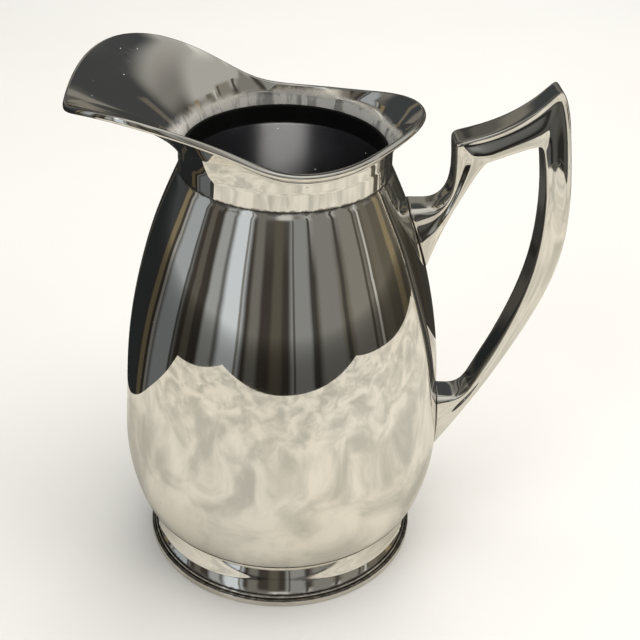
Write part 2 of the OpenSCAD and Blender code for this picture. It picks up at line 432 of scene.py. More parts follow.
# %% Stations of the handle
# Each station holds a point on the outer edge and one on the inner edge, as (x, z), then how round the
# outer and the inner corners are, how far the front is crowned, and where its crease lies (0: none).
stations = [
    (53.0, 170.4, 61.2, 149.0, 6.2, 1.0, 0.0, 0.62), (58.9, 170.4, 62.6, 152.8, 6.2, 1.0, 0.0, 0.62),
    (62.5, 171.2, 64.3, 157.0, 5.8, 1.0, 0.0, 0.62), (65.5, 173.0, 66.5, 162.5, 5.0, 1.0, 0.0, 0.62),
    (67.6, 176.3, 69.0, 168.5, 4.2, 1.0, 0.0, 0.62), (68.4, 180.5, 71.5, 173.6, 3.8, 1.0, 0.0, 0.62),
    (68.5, 185.0, 74.0, 178.8, 3.6, 1.0, 0.0, 0.62), (68.1, 192.0, 77.4, 185.4, 3.2, 1.2, 0.0, 0.62),
    (67.5, 197.0, 79.6, 189.0, 2.6, 1.4, 0.2, 0.6), (67.9, 199.3, 81.4, 190.9, 2.3, 1.5, 0.4, 0.0),
    (73.0, 200.5, 83.4, 191.4, 2.3, 1.6, 0.9, 0.0), (81.0, 202.9, 86.8, 192.5, 2.3, 1.6, 0.9, 0.0),
    (88.8, 206.2, 92.0, 194.4, 2.3, 1.6, 0.9, 0.0), (96.5, 210.6, 97.5, 196.3, 2.3, 1.6, 0.9, 0.0),
    (103.9, 216.8, 101.4, 197.2, 2.2, 1.6, 0.9, 0.0), (107.4, 220.9, 102.9, 197.0, 2.0, 1.6, 0.9, 0.0),
    (109.3, 220.9, 103.9, 195.8, 2.0, 1.6, 1.0, 0.0), (111.8, 214.0, 104.7, 192.3, 2.0, 1.6, 1.2, 0.0),
    (114.0, 205.0, 105.6, 187.5, 2.0, 1.6, 1.3, 0.0), (116.0, 191.5, 106.6, 181.0, 2.0, 1.6, 1.3, 0.0),
    (117.8, 178.5, 107.5, 173.0, 2.0, 1.6, 1.2, 0.0), (118.5, 165.0, 107.9, 163.0, 2.0, 1.6, 0.5, 0.0),
    (118.3, 153.0, 107.7, 152.0, 2.0, 1.6, 0.4, 0.0), (116.5, 141.0, 106.6, 141.0, 2.0, 1.6, 0.4, 0.0),
    (113.8, 131.0, 104.8, 131.5, 2.0, 1.6, 0.4, 0.0), (110.0, 120.0, 101.8, 120.0, 2.0, 1.6, 0.4, 0.0),
    (105.0, 108.5, 98.0, 109.0, 2.0, 1.8, 0.3, 0.0), (99.0, 96.0, 93.5, 97.5, 1.8, 2.0, 0.3, 0.0),
    (92.5, 83.0, 88.0, 86.0, 1.6, 2.2, 0.2, 0.0), (88.0, 75.2, 85.0, 78.2, 1.4, 2.4, 0.0, 0.5),
    (85.0, 70.2, 82.6, 75.2, 1.3, 3.4, 0.0, 0.45), (81.5, 64.8, 80.0, 73.8, 1.2, 4.4, 0.0, 0.42),
    (77.8, 59.2, 76.8, 73.6, 1.1, 5.4, 0.0, 0.4), (73.3, 53.0, 73.3, 74.0, 1.1, 6.0, 0.0, 0.4),
]
GRIP_HALF = 7.4
ROOT_FLARE = 1.6
ROOT_RUN = 4
TIP_SLIMMER = 1.0
TIP_STATION = 16
last_station = len(stations) - 1
print("handle:", len(stations), "stations, tip at", stations[TIP_STATION][:2])


def half_width(i):
    """Half the handle's width at a station: wider near both roots, slimmer at the tip."""
    near = min(i, last_station - i) / ROOT_RUN
    from_tip = abs(i - TIP_STATION) / (6 if i < TIP_STATION else 4)
    slimmer = TIP_SLIMMER * max(0, 1 - from_tip)
    return GRIP_HALF + ROOT_FLARE * max(0, 1 - near) ** 2 - slimmer


def round_side(reach, height, soft):
    """Control points of one rounded side: up the narrow face and over to where the front starts."""
    return [
        (0, 0), (0, 0.5 * (height - soft)), (0, height - soft), (0.1 * reach, height - 0.1 * soft),
    ]


def section_point(i, j):
    """Control point j of the half section at station i, in millimetres."""
    ox, oz, ix, iz, out_soft, in_soft, crown, crease = stations[i]
    outer = Vector((ox, oz))
    across = Vector((ix, iz)) - outer
    deep = across.length
    h = half_width(i)
    eo = min(out_soft, 0.46 * deep, h - 1)
    ei = min(in_soft, 0.46 * deep, h - 1)
    upper_root = crease and i < last_station / 2
    lower_root = crease and not upper_root
    if upper_root:
        at_crease = crease * deep
        front = [(0.55 * at_crease, h - 1.1), (at_crease - 0.25, h - 0.12), (at_crease + 0.25, h),
                 ((at_crease + deep - ei) / 2, h), (deep - ei, h)]
        out_reach, in_reach = at_crease, ei
    elif lower_root:
        at_crease = crease * deep
        front = [(eo, h), (at_crease / 2, h), (at_crease - 0.25, h), (at_crease + 0.25, h - 0.12),
                 (deep - 0.55 * (deep - at_crease), h - 1.1)]
        out_reach, in_reach = eo, deep - at_crease
    else:
        span = deep - ei - eo
        if crown > 0.45:
            lean = 0.09 * span * crown
            profile = [(0, -0.95), (0.25, -0.6), (0.5, -0.25), (0.7, 0), (1, -0.08)]
        else:
            lean = crown
            profile = [(0, -0.4), (0.27, 0.1), (0.5, 0.25), (0.73, 0.1), (1, -0.4)]
        front = [(eo + t * span, h + rise * lean) for t, rise in profile]
        out_reach, in_reach = eo, ei
    out_side = round_side(out_reach, h, eo)
    in_side = [(deep - p, y) for p, y in reversed(round_side(in_reach, h, ei))]
    p, y = (out_side + front + in_side)[j]
    at = outer + across * (p / deep)
    return Vector((at.x, y, at.y))


# Control points across one half section: four on each narrow side and five on the front
ROWS = 13

# %% The run from each end to the body
SUNK = 0.25


def run_to_body(p, direction):
    """Where a line from p goes just into the body's surface."""
    step = 0.05 * direction.normalized()
    while math.hypot(p.x, p.y) > body_radius(p.z) - SUNK:
        p = p + step
    return p


def end_row(end, next_one, along, sunk):
    """A row of control points between the handle's end (0) and the body (1), sunk in a little."""
    section = [section_point(end, j) for j in range(ROWS)]
    centre = Vector((sum(p.x for p in section) / ROWS, 0, sum(p.z for p in section) / ROWS))
    row = []
    for j, p in enumerate(section):
        start = p + (centre - p).normalized() * sunk
        row.append(start.lerp(run_to_body(start, p - section_point(next_one, j)), along))
    return row


# Each row of a root collar: how far along it is, how far it is sunk, and whether it is dark solder
COLLAR_ROWS = [(1.0, 0.35, 1), (0.8, 0.35, 1), (0.7, 0.0, 0), (0.35, 0.0, 0)]
print("each collar has", len(COLLAR_ROWS), "rows of control points beyond the handle's end")

# %% [markdown]
# ## The handle's skin, cut into its pieces
# The handle is two stamped halves, and at each end a thin collar was filed to fit the body. A mirror
# would show the smallest kink between them. So we draw one smooth skin over all of one side, from the
# body to the body, and only then cut it into the pieces. Solidify gives each the sheet's thickness.

# %% One smooth skin
UPPER_COLLAR, HALF, LOWER_COLLAR = 0, 1, 2


def with_modifier(mesh, kind, **settings):
    """The mesh with one modifier applied to it."""
    holder = bpy.data.objects.new("holder", mesh)
    bpy.context.scene.collection.objects.link(holder)
    modifier = holder.modifiers.new("step", kind)
    for key, value in settings.items():
        setattr(modifier, key, value)
    ready = holder.evaluated_get(bpy.context.evaluated_depsgraph_get())
    result = bpy.data.meshes.new_from_object(ready)
    bpy.data.objects.remove(holder)
    return result


def side_skin():
    """The subdivided skin of the back side, with a number on each face for its piece."""
    last = last_station
    beyond_end = len(COLLAR_ROWS)
    rows = [(end_row(0, 1, along, sunk), dark) for along, sunk, dark in COLLAR_ROWS]
    rows += [([section_point(i, j) for j in range(ROWS)], 0) for i in range(last + 1)]
    rows += [(end_row(last, last - 1, along, sunk), dark) for along, sunk, dark in COLLAR_ROWS[::-1]]
    bm = bmesh.new()
    solder = bm.verts.layers.float.new("solder")
    piece_number = bm.faces.layers.int.new("piece_number")
    bmesh.ops.create_grid(bm, x_segments=len(rows) - 1, y_segments=ROWS - 1, size=1)
    for f in bm.faces:
        row = int((f.calc_center_median().x + 1) / 2 * (len(rows) - 1))
        if row < beyond_end:
            f[piece_number] = UPPER_COLLAR
        elif row < beyond_end + last:
            f[piece_number] = HALF
        else:
            f[piece_number] = LOWER_COLLAR
    for v in bm.verts:
        i = round((v.co.x + 1) / 2 * (len(rows) - 1))
        j = round((v.co.y + 1) / 2 * (ROWS - 1))
        points, dark = rows[i]
        v.co = points[j] * MM
        v[solder] = dark
    bmesh.ops.recalc_face_normals(bm, faces=bm.faces)
    if sum(f.normal.y * f.calc_area() for f in bm.faces) < 0:
        bmesh.ops.reverse_faces(bm, faces=bm.faces)
    cage = bpy.data.meshes.new("handle_cage")
    bm.to_mesh(cage)
    bm.free()
    return with_modifier(cage, "SUBSURF", levels=3)


skin = side_skin()
print("skin of one side:", len(skin.polygons), "faces")

# %% Cut it into halves and collars
HANDLE_SHEET = 1.1
WELD = 0.01 * MM


def cut_from_skin(name, number, sides):
    """Keeps one piece of the skin, on the back, the front or both sides of the middle."""
    bm = bmesh.new()
    bm.from_mesh(skin)
    piece_number = bm.faces.layers.int["piece_number"]
    others = [f for f in bm.faces if f[piece_number] != number]
    bmesh.ops.delete(bm, geom=others, context="FACES")
    if sides == "both":
        whole = bm.verts[:] + bm.edges[:] + bm.faces[:]
        bmesh.ops.mirror(bm, geom=whole, matrix=Matrix(), merge_dist=WELD, axis="Y")
        bmesh.ops.remove_doubles(bm, verts=bm.verts, dist=WELD)
        bmesh.ops.recalc_face_normals(bm, faces=bm.faces)
        middle = sum((v.co for v in bm.verts), Vector()) / len(bm.verts)
        if sum((f.calc_center_median() - middle).dot(f.normal) for f in bm.faces) < 0:
            bmesh.ops.reverse_faces(bm, faces=bm.faces)
    elif sides == "front":
        bmesh.ops.scale(bm, vec=(1, -1, 1), verts=bm.verts)
        bmesh.ops.reverse_faces(bm, faces=bm.faces)
    flat_sheet = bpy.data.meshes.new("sheet")
    bm.to_mesh(flat_sheet)
    bm.clear()
    bm.from_mesh(with_modifier(flat_sheet, "SOLIDIFY", thickness=HANDLE_SHEET * MM, offset=-1))
    piece = finish_piece(name, bm, [name])
    keep_edges_sharp(piece, 45)


cut_from_skin("handle_back_half", HALF, "back")
cut_from_skin("handle_front_half", HALF, "front")
cut_from_skin("upper_root_collar", UPPER_COLLAR, "both")
cut_from_skin("lower_root_collar", LOWER_COLLAR, "both")

# %% [markdown]
# ## Signs of use, as one node group
# Polished silver is never a perfect mirror. A cloth leaves hairlines, fingers leave a haze, small pits
# stay dark and dust settles. All the silver shares these, so they are one group: it gives a roughness,
# a darkening, a height and a dust mask, and each material sets how strong they are.

# %% Helpers for nodes
def new_group(name, inputs, outputs):
    """A shader node group with float inputs and named outputs of given socket types."""
    group = bpy.data.node_groups.new(name, "ShaderNodeTree")
    group.interface.new_socket("Place", in_out="INPUT", socket_type="NodeSocketVector")
    for label, value in inputs.items():
        socket = group.interface.new_socket(label, in_out="INPUT", socket_type="NodeSocketFloat")
        socket.default_value = value
    for label, kind in outputs.items():
        group.interface.new_socket(label, in_out="OUTPUT", socket_type=kind)
    return group


def node(tree, kind, settings=None, **inputs):
    """Adds a node, sets its properties and feeds its inputs with values or other sockets."""
    made_node = tree.nodes.new(kind)
    for key, value in (settings or {}).items():
        setattr(made_node, key, value)
    for key, value in inputs.items():
        socket = made_node.inputs[int(key[1:])] if key[0] == "i" and key[1:].isdigit() \
            else made_node.inputs[key.replace("_", " ")]
        if isinstance(value, bpy.types.NodeSocket):
            tree.links.new(value, socket)
        else:
            socket.default_value = value
    return made_node


def maths(tree, operation, a, b=0.0, clamp=False):
    """The result socket of one Math node."""
    return node(tree, "ShaderNodeMath", {"operation": operation, "use_clamp": clamp},
                i0=a, i1=b).outputs[0]


def ramp(tree, value, low, high, start=0.0, end=1.0):
    """A smooth change from start to end as value goes from low to high."""
    return node(tree, "ShaderNodeMapRange", {"interpolation_type": "SMOOTHSTEP"},
                i0=value, i1=low, i2=high, i3=start, i4=end).outputs[0]


def blend(tree, amount, first, second):
    """The colour socket of a mix of two colours: first at 0, second at 1."""
    return node(tree, "ShaderNodeMix", {"data_type": "RGBA"}, i0=amount, i6=first, i7=second).outputs[2]


# %% The wear group
wear = new_group("silver_wear", {
    "Haze": 0.05, "Hairlines": 0.5, "Pits": 0.5, "Ripple": 0.3, "Dust": 0.0,
}, {
    "Roughness": "NodeSocketFloat", "Darkening": "NodeSocketFloat", "Height": "NodeSocketFloat",
    "Dust mask": "NodeSocketFloat",
})
w_in = wear.nodes.new("NodeGroupInput")
w_out = wear.nodes.new("NodeGroupOutput")
place = w_in.outputs["Place"]

# Wide soft patches of haze, where the cloth didn't reach
haze_noise = node(wear, "ShaderNodeTexNoise", Vector=place, Scale=38.0, Detail=4.0, Roughness=0.6)
haze = ramp(wear, haze_noise.outputs[0], 0.42, 0.75)
# Hairlines that run every way: thin iso-lines of a stretched noise
hair = None
for turn_deg, stretch in ((12, 26.0), (75, 34.0), (140, 22.0)):
    tilt = node(wear, "ShaderNodeMapping", Vector=place,
                Rotation=(math.radians(turn_deg), math.radians(turn_deg * 0.7), math.radians(20)),
                Scale=(60.0, 60.0 * stretch, 60.0))
    line_noise = node(wear, "ShaderNodeTexNoise", Vector=tilt.outputs[0], Scale=1.0, Detail=1.0)
    off = maths(wear, "ABSOLUTE", maths(wear, "SUBTRACT", line_noise.outputs[0], 0.5))
    thin = ramp(wear, off, 0.0, 0.006, 1.0, 0.0)
    hair = thin if hair is None else maths(wear, "MAXIMUM", hair, thin)
where = node(wear, "ShaderNodeTexNoise", Vector=place, Scale=70.0, Detail=2.0)
hair = maths(wear, "MULTIPLY", hair, ramp(wear, where.outputs[0], 0.45, 0.65))
# Pits: a few cells of a Voronoi pattern hold a small dark dot
cells = node(wear, "ShaderNodeTexVoronoi", Vector=place, Scale=330.0)
dot = ramp(wear, cells.outputs["Distance"], 0.06, 0.12, 1.0, 0.0)
chance = node(wear, "ShaderNodeSeparateColor", i0=cells.outputs["Color"])
pit = maths(wear, "MULTIPLY", dot, maths(wear, "GREATER_THAN", chance.outputs[0], 0.985))
pit = maths(wear, "MULTIPLY", pit, w_in.outputs["Pits"])
# Dust: small pale specks that lie in loose groups
grains = node(wear, "ShaderNodeTexVoronoi", Vector=place, Scale=420.0)
speck_seen = ramp(wear, grains.outputs["Distance"], 0.06, 0.14, 1.0, 0.0)
luck = node(wear, "ShaderNodeSeparateColor", i0=grains.outputs["Color"])
speck_seen = maths(wear, "MULTIPLY", speck_seen, maths(wear, "GREATER_THAN", luck.outputs[1], 0.82))
group_noise = node(wear, "ShaderNodeTexNoise", Vector=place, Scale=30.0, Detail=2.0)
speck_seen = maths(wear, "MULTIPLY", speck_seen, ramp(wear, group_noise.outputs[0], 0.48, 0.66))
wear.links.new(maths(wear, "MULTIPLY", speck_seen, w_in.outputs["Dust"]), w_out.inputs["Dust mask"])
# Ripple: hand work leaves a faint unevenness that bends reflections
ripple_noise = node(wear, "ShaderNodeTexNoise", Vector=place, Scale=24.0, Detail=1.0)
ripple = maths(wear, "MULTIPLY", ripple_noise.outputs[0], w_in.outputs["Ripple"])

hair_strength = maths(wear, "MULTIPLY", hair, w_in.outputs["Hairlines"])
rough = maths(wear, "ADD", 0.015, maths(wear, "MULTIPLY", haze, w_in.outputs["Haze"]))
rough = maths(wear, "ADD", rough, maths(wear, "MULTIPLY", hair_strength, 0.12))
rough = maths(wear, "ADD", rough, maths(wear, "MULTIPLY", pit, 0.4), clamp=True)
wear.links.new(rough, w_out.inputs["Roughness"])
wear.links.new(maths(wear, "MULTIPLY", pit, 0.85, clamp=True), w_out.inputs["Darkening"])
height = maths(wear, "SUBTRACT", ripple, maths(wear, "MULTIPLY", hair_strength, 0.0006))
height = maths(wear, "SUBTRACT", height, maths(wear, "MULTIPLY", pit, 0.008))
wear.links.new(height, w_out.inputs["Height"])
print("wear group has", len(wear.nodes), "nodes")

# %% [markdown]
# ## Tarnish that gathers in corners
# Silver darkens first where a cloth can't reach: in seams, grooves and under mouldings. Those places
# lie at known heights, so a second group turns the distance from a given height into a brown mask.

# %% The tarnish group
tarnish = new_group("seam_tarnish", {
    "Seam height": 0.188, "Reach": 0.0008,
}, {"Mask": "NodeSocketFloat"})
t_in = tarnish.nodes.new("NodeGroupInput")
t_out = tarnish.nodes.new("NodeGroupOutput")
t_place = node(tarnish, "ShaderNodeSeparateXYZ", i0=t_in.outputs["Place"])
wander = node(tarnish, "ShaderNodeTexNoise", Vector=t_in.outputs["Place"], Scale=420.0, Detail=3.0)
gap = maths(tarnish, "ABSOLUTE",
            maths(tarnish, "SUBTRACT", t_place.outputs[2], t_in.outputs["Seam height"]))
reach = maths(tarnish, "MULTIPLY", t_in.outputs["Reach"],
              ramp(tarnish, wander.outputs[0], 0.3, 0.7, 0.55, 1.6))
mask = maths(tarnish, "SUBTRACT", 1.0, maths(tarnish, "DIVIDE", gap, reach), clamp=True)
tarnish.links.new(maths(tarnish, "POWER", mask, 0.7), t_out.inputs["Mask"])
print("tarnish group has", len(tarnish.nodes), "nodes")

# %% [markdown]
# ## A film of hard water
# Water stands at the foot of the neck's inner wall and leaves a pale film that hides the mirror. A
# number on each vertex says how much: 1 on the lowest part of the inner wall, 0 from the flare upwards
# and on the outside. The silver's nodes read it by its name and break it up into upright runs.

# %% Mark the film
FILM_FULL = 199.0 * MM
FILM_END = 203.0 * MM
neck_mesh = made["neck_collar"].data
film_here = neck_mesh.attributes.new("film", "FLOAT", "POINT")
for vertex in neck_mesh.vertices:
    faces_in = vertex.normal.x * vertex.co.x + vertex.normal.y * vertex.co.y < 0
    fade = (FILM_END - vertex.co.z) / (FILM_END - FILM_FULL)
    film_here.data[vertex.index].value = min(max(fade, 0.0), 1.0) if faces_in else 0.0
print("vertices under the film:", sum(1 for one in film_here.data if one.value > 0))

# %% [markdown]
# ## Silver
# Silver is a metal with a faintly warm mirror. Metallic is 1, the colour is the metal's own reflection,
# and roughness comes from the wear group. The tarnish masks pull the colour down to a brown black. Dust
# and the water's film aren't metal, so Metallic falls where they lie.

# %% Silver materials
SILVER = (0.925, 0.905, 0.865, 1.0)
DARK_TARNISH = (0.035, 0.026, 0.018, 1.0)
PALE_DUST = (0.62, 0.60, 0.56, 1.0)


def new_material(name):
    """A node material with its Principled shader and its place on the object."""
    material = bpy.data.materials.new(name)
    material.use_nodes = True
    tree = material.node_tree
    shader = tree.nodes["Principled BSDF"]
    coords = node(tree, "ShaderNodeTexCoord")
    return material, tree, shader, coords.outputs["Object"]


def silver(name, haze, hairlines, pits, ripple, dust, seams, tint=SILVER):
    """Polished silver: seams is a list of (height in mm, reach in mm) that stay dark."""
    material, tree, shader, at = new_material(name)
    use = node(tree, "ShaderNodeGroup", {"node_tree": wear}, Place=at, Haze=haze,
               Hairlines=hairlines, Pits=pits, Ripple=ripple, Dust=dust)
    solder = node(tree, "ShaderNodeAttribute", {"attribute_name": "solder"})
    dark = maths(tree, "MAXIMUM", use.outputs["Darkening"], solder.outputs["Fac"])
    for seam_height, seam_reach in seams:
        line = node(tree, "ShaderNodeGroup", {"node_tree": tarnish}, Place=at)
        line.inputs["Seam height"].default_value = seam_height * MM
        line.inputs["Reach"].default_value = seam_reach * MM
        dark = maths(tree, "MAXIMUM", dark, line.outputs["Mask"])
    cloud = node(tree, "ShaderNodeTexNoise", Vector=at, Scale=16.0, Detail=3.0)
    warmer = (tint[0], tint[1] * 0.985, tint[2] * 0.955, 1)
    metal = blend(tree, ramp(tree, cloud.outputs[0], 0.35, 0.7), tint, warmer)
    film = node(tree, "ShaderNodeAttribute", {"attribute_name": "film"})
    upright = node(tree, "ShaderNodeMapping", Vector=at, Scale=(230.0, 230.0, 50.0))
    run_noise = node(tree, "ShaderNodeTexNoise", Vector=upright.outputs[0], Scale=1.0, Detail=4.0)
    runs = ramp(tree, run_noise.outputs[0], 0.35, 0.62, 0.3, 0.95)
    dusty = maths(tree, "MAXIMUM", use.outputs["Dust mask"],
                  maths(tree, "MULTIPLY", film.outputs["Fac"], runs))
    colour = blend(tree, dusty, blend(tree, dark, metal, DARK_TARNISH), PALE_DUST)
    tree.links.new(colour, shader.inputs["Base Color"])
    tree.links.new(maths(tree, "SUBTRACT", 1.0, dusty), shader.inputs["Metallic"])
    dulled = maths(tree, "MULTIPLY", maths(tree, "MAXIMUM", dark, dusty), 0.4)
    tree.links.new(maths(tree, "ADD", use.outputs["Roughness"], dulled, clamp=True),
                   shader.inputs["Roughness"])
    bump = node(tree, "ShaderNodeBump", Strength=1.0, Distance=0.001, Height=use.outputs["Height"])
    tree.links.new(bump.outputs[0], shader.inputs["Normal"])
    return material


body_silver = silver("body_silver", 0.03, 0.35, 0.8, 0.35, 0.25,
                     [(seam_z, 0.9), (bead_top, 0.7)])
neck_silver = silver("neck_silver", 0.07, 0.8, 0.9, 0.45, 0.8, [(seam_z, 0.8)])
foot_silver = silver("foot_silver", 0.07, 0.5, 0.6, 0.12, 0.3,
                     [(bead_top, 0.5), (band_high, 0.5), (band_low, 0.5), (3.05, 0.35)])
handle_silver = silver("handle_silver", 0.06, 0.7, 0.9, 0.3, 0.3, [])
base_silver = silver("base_silver", 0.3, 1.0, 1.0, 0.3, 1.0, [(1.2, 0.6)], (0.74, 0.71, 0.65, 1.0))
print("silver finishes: body, neck, foot, handle, base")

# %% [markdown]
# ## Black coat, rubber and cork
# The lining's coat is a satin black that shows one soft streak of light and a little dust. The seal is
# rubber: duller, with a fine grain. The cork has its pressed granules. None of them is one flat colour.

# %% Black coat and rubber
def dusty_black(name, base, pale, roughness, bump_strength):
    """A black surface with a fine grain, faint rubbed patches and specks of dust."""
    material, tree, shader, at = new_material(name)
    patch = node(tree, "ShaderNodeTexNoise", Vector=at, Scale=45.0, Detail=5.0)
    grain = node(tree, "ShaderNodeTexNoise", Vector=at, Scale=1600.0, Detail=2.0)
    cells = node(tree, "ShaderNodeTexVoronoi", Vector=at, Scale=330.0)
    speck = ramp(tree, cells.outputs["Distance"], 0.05, 0.11, 1.0, 0.0)
    pick = node(tree, "ShaderNodeSeparateColor", i0=cells.outputs["Color"])
    speck = maths(tree, "MULTIPLY", speck, maths(tree, "GREATER_THAN", pick.outputs[1], 0.9))
    rubbed = ramp(tree, patch.outputs[0], 0.5, 0.8, 0.0, 0.5)
    ground = blend(tree, rubbed, base, pale)
    colour = blend(tree, maths(tree, "MULTIPLY", speck, 0.5), ground, (0.32, 0.31, 0.29, 1))
    tree.links.new(colour, shader.inputs["Base Color"])
    rough = maths(tree, "ADD", roughness, maths(tree, "MULTIPLY", rubbed, 0.15))
    tree.links.new(maths(tree, "ADD", rough, maths(tree, "MULTIPLY", speck, 0.3), clamp=True),
                   shader.inputs["Roughness"])
    bump = node(tree, "ShaderNodeBump", Strength=bump_strength, Distance=0.0002,
                Height=grain.outputs[0])
    tree.links.new(bump.outputs[0], shader.inputs["Normal"])
    return material


black_lining = dusty_black("black_lining", (0.001, 0.001, 0.0012, 1), (0.003, 0.003, 0.0034, 1),
                           0.42, 0.12)
black_seal = dusty_black("black_seal", (0.004, 0.004, 0.004, 1), (0.01, 0.01, 0.01, 1), 0.7, 0.4)
# Fine turned lines run round the lining, so its gloss is drawn out upright
lining_shader = black_lining.node_tree.nodes["Principled BSDF"]
lining_shader.inputs["Specular IOR Level"].default_value = 0.24
lining_shader.inputs["Anisotropic"].default_value = 0.95
lining_shader.inputs["Anisotropic Rotation"].default_value = 0.25
seal_shader = black_seal.node_tree.nodes["Principled BSDF"]
seal_shader.inputs["Specular IOR Level"].default_value = 0.15
print("gloss: lining", lining_shader.inputs["Specular IOR Level"].default_value, "and seal",
      seal_shader.inputs["Specular IOR Level"].default_value)

# %% Cork
cork, cork_tree, cork_shader, cork_at = new_material("cork")
granules = node(cork_tree, "ShaderNodeTexVoronoi", Vector=cork_at, Scale=520.0)
granule_tone = node(cork_tree, "ShaderNodeSeparateColor", i0=granules.outputs["Color"])
cork_brown = blend(cork_tree, granule_tone.outputs[0], (0.36, 0.22, 0.11, 1), (0.58, 0.41, 0.24, 1))
cork_gap = ramp(cork_tree, granules.outputs["Distance"], 0.35, 0.75, 0.0, 0.7)
cork_colour = blend(cork_tree, cork_gap, cork_brown, (0.14, 0.08, 0.04, 1))
cork_tree.links.new(cork_colour, cork_shader.inputs["Base Color"])
cork_rough = ramp(cork_tree, granules.outputs["Distance"], 0.1, 0.8, 0.75, 0.92)
cork_tree.links.new(cork_rough, cork_shader.inputs["Roughness"])
cork_bump = node(cork_tree, "ShaderNodeBump", Strength=0.6, Distance=0.0004,
                 Height=maths(cork_tree, "SUBTRACT", 1.0, granules.outputs["Distance"]))
cork_tree.links.new(cork_bump.outputs[0], cork_shader.inputs["Normal"])
print("cork has", len(cork_tree.nodes), "nodes")

# %% Give each piece its material
finishes = {
    "body_shell": body_silver, "neck_collar": neck_silver, "rim_wire": neck_silver,
    "rim_strip": neck_silver, "foot_bead_ring": foot_silver, "foot_band": foot_silver,
    "foot_rim": foot_silver, "base_plate": base_silver, "lining_vessel": black_lining,
    "lining_seal": black_seal, "lining_pad": cork, "handle_front_half": handle_silver,
    "handle_back_half": handle_silver, "upper_root_collar": handle_silver,
    "lower_root_collar": handle_silver,
}
for name, material in finishes.items():
    made[name].data.materials.append(material)
print("materials:", sorted({m.name for m in finishes.values()}))

# %% [markdown]
# ## Floor and light
# A mirror has no look of its own: it shows the room. The floor is plain and pale to the camera. In
# reflections it ends like a table, and the room beyond is dark, so the body turns dark above a clear
# line. Tall soft screens round the pitcher draw the upright stripes that silver is known by. They are
# painted on the world and on the floor beyond the table, each by its heading and its height.

# %% The studio round the table
# Each screen: heading of its middle from the camera side, half width, lowest and highest point and
# softness, all in degrees, then its tone and how warm it is. A later one stands before an earlier one.
screens = [
    (80, 42, -30, 12, 4, 0.11, 0.6), (150, 28, -30, 6, 4, 0.12, 0.6), (60, 44, 18, 66, 9, 0.40, 0.0),
    (180, 50, -30, 34, 9, 0.10, 0.2), (150, 20, 4, 72, 6, 0.055, -0.3), (-140, 26, -30, 74, 8, 0.05, -0.4),
    (-166, 4, -30, 60, 2, 0.17, 0.3), (172, 2.5, -30, 50, 1.2, 0.22, 0.2), (-152, 2, -30, 50, 1, 0.15, 0.6),
    (140, 3, -30, 50, 1.5, 0.13, 0.5), (-178, 1.2, -30, 40, 0.6, 0.05, 0.0), (0, 40, 48, 66, 5, 0.6, 0.0),
    (-92, 9, -30, 30, 3, 0.34, -0.4), (-84, 1, -30, 30, 0.5, 0.08, 0.0), (-74, 3, -30, 30, 1, 0.10, 0.4),
    (-58, 5, -30, 26, 2, 0.32, -0.2), (-66, 1, -30, 30, 0.5, 0.04, 0.4), (-42, 8, -30, 44, 3, 0.6, -0.4),
    (-36, 1, -30, 40, 0.5, 0.2, 0.0), (-25, 4, -30, 34, 2, 0.15, 0.2), (-8, 4, -30, 28, 2, 0.09, 0.6),
    (10, 8, -30, 30, 2, 0.24, -0.1), (5, 0.8, -30, 30, 0.4, 0.09, 0.2), (20, 1.2, -30, 30, 0.6, 0.05, 0.2),
    (33, 9, -30, 34, 3, 0.2, 0.1), (45, 1.5, -30, 34, 0.7, 0.06, 0.3), (59, 10, -30, 32, 3, 0.21, 0.2),
    (66, 1.2, -30, 30, 0.5, 0.08, 0.5), (72, 1, -30, 26, 0.5, 0.5, 0.0), (80, 4, -30, 24, 2, 0.14, 0.5),
    (98, 3, -30, 22, 1, 0.22, 1.1), (108, 2, -30, 20, 1, 0.15, 0.7), (-112, 3, -30, 22, 1, 0.18, 1.1),
    (-104, 1.5, -30, 24, 0.7, 0.3, 0.0), (-50, 4, 30, 44, 2, 1.6, -0.2), (70, 26, 62, 80, 6, 0.7, 0.0),
    (-3, 8, 27, 50, 4, 0.5, 0.0),
]
print("screens round the table:", len(screens))


def warm_tone(tone, warmth):
    """A grey made warmer, towards brown, or cooler where warmth is negative."""
    return (tone * (1 + 0.10 * warmth), tone * (1 - 0.08 * warmth), tone * (0.94 - 0.35 * warmth), 1)


def studio_colour(tree, heading_here, rise_here):
    """Colour of the studio in a direction, given in degrees."""
    walls = blend(tree, ramp(tree, rise_here, 12.0, 42.0), (0.047, 0.041, 0.034, 1),
                  (0.20, 0.195, 0.18, 1))
    room = blend(tree, ramp(tree, rise_here, 45.0, 85.0), walls, (0.62, 0.61, 0.58, 1))
    for middle, half, low, high, soft, tone, warmth in screens:
        off = maths(tree, "ABSOLUTE", maths(tree, "SUBTRACT", heading_here, middle))
        off = maths(tree, "MINIMUM", off, maths(tree, "SUBTRACT", 360.0, off))
        beside_it = ramp(tree, off, half - soft, half + soft, 1.0, 0.0)
        over_foot = ramp(tree, rise_here, low - soft, low + soft)
        under_top = ramp(tree, rise_here, high - soft, high + soft, 1.0, 0.0)
        on_screen = maths(tree, "MULTIPLY", beside_it, maths(tree, "MULTIPLY", over_foot, under_top))
        room = blend(tree, on_screen, room, warm_tone(tone, warmth))
    return room


def heading_of(tree, xyz):
    """Heading in degrees of a point or a direction, from the camera side towards the handle."""
    return maths(tree, "DEGREES", maths(
        tree, "ARCTAN2", xyz.outputs[0], maths(tree, "MULTIPLY", xyz.outputs[1], -1.0)))


# %% Floor
FLOOR_HALF = 6.0
floor_bm = bmesh.new()
bmesh.ops.create_grid(floor_bm, x_segments=8, y_segments=8, size=FLOOR_HALF)
floor_mesh = bpy.data.meshes.new("floor")
floor_bm.to_mesh(floor_mesh)
floor_bm.free()
floor = bpy.data.objects.new("floor", floor_mesh)
bpy.context.scene.collection.objects.link(floor)
print("floor:", 2 * FLOOR_HALF, "m across")

